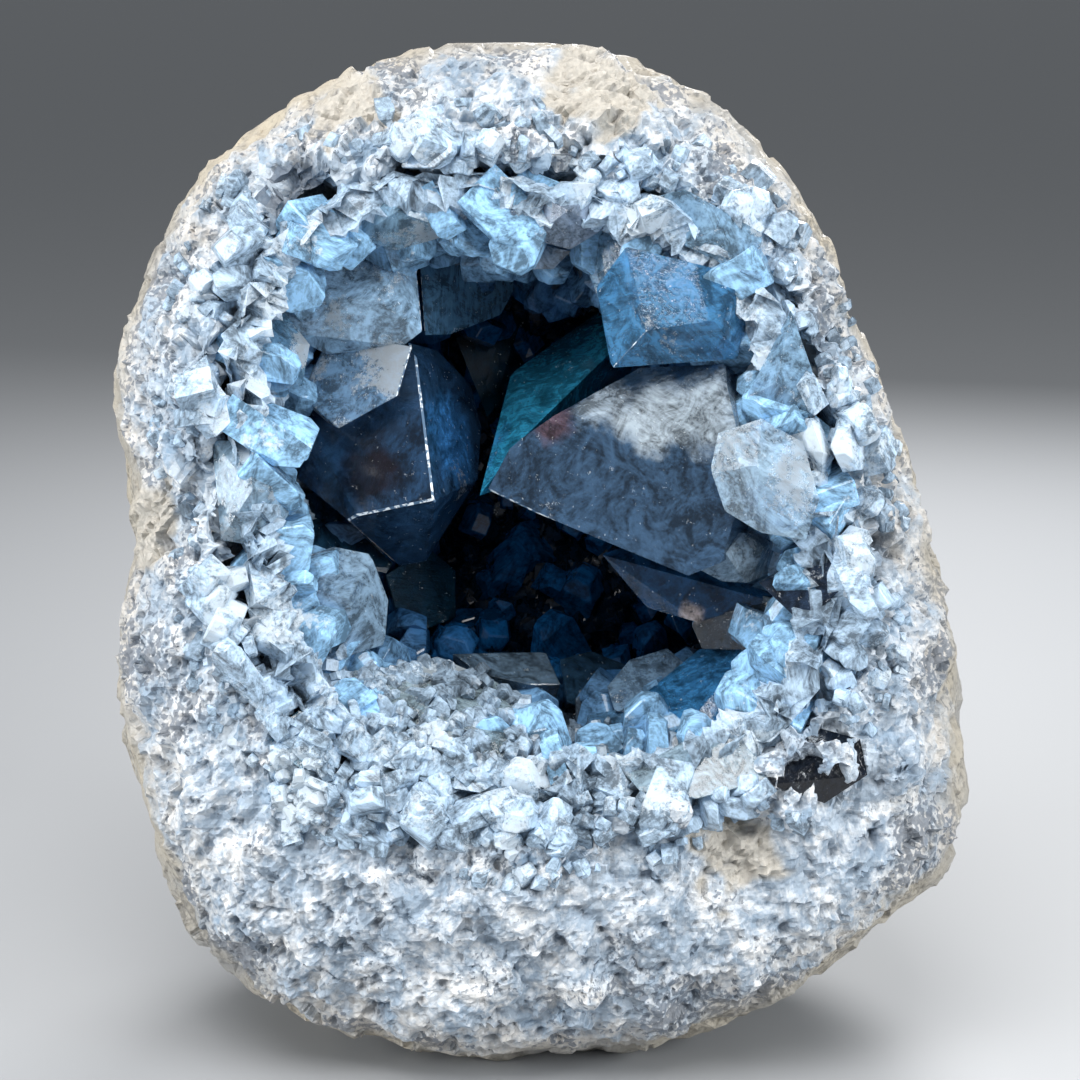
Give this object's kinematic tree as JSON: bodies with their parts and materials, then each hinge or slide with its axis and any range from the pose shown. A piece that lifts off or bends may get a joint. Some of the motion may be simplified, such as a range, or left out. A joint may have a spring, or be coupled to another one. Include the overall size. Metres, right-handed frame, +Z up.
{
  "type": "celestite geode",
  "caption": "Egg-shaped celestite nodule broken open at the front, with a hollow lined by clear blue crystals; stands on a small flat spot.",
  "frame": {"origin": "middle of the stone's footprint, on the surface that it rests on", "axes": "+Z up, -Y out of the mouth of the hollow, +X to the right as seen from in front of the mouth"},
  "size_m": [0.1296, 0.1088, 0.1479],
  "materials": {
    "rind": "rough granular white to blue-grey celestite with a weathered grey-beige skin",
    "crystal": "clear to milky blue crystal with glossy flat faces"
  },
  "bodies": {
    "root": {"rind": "rind", "crystal_crust": "crystal"}
  },
  "joints": []
}
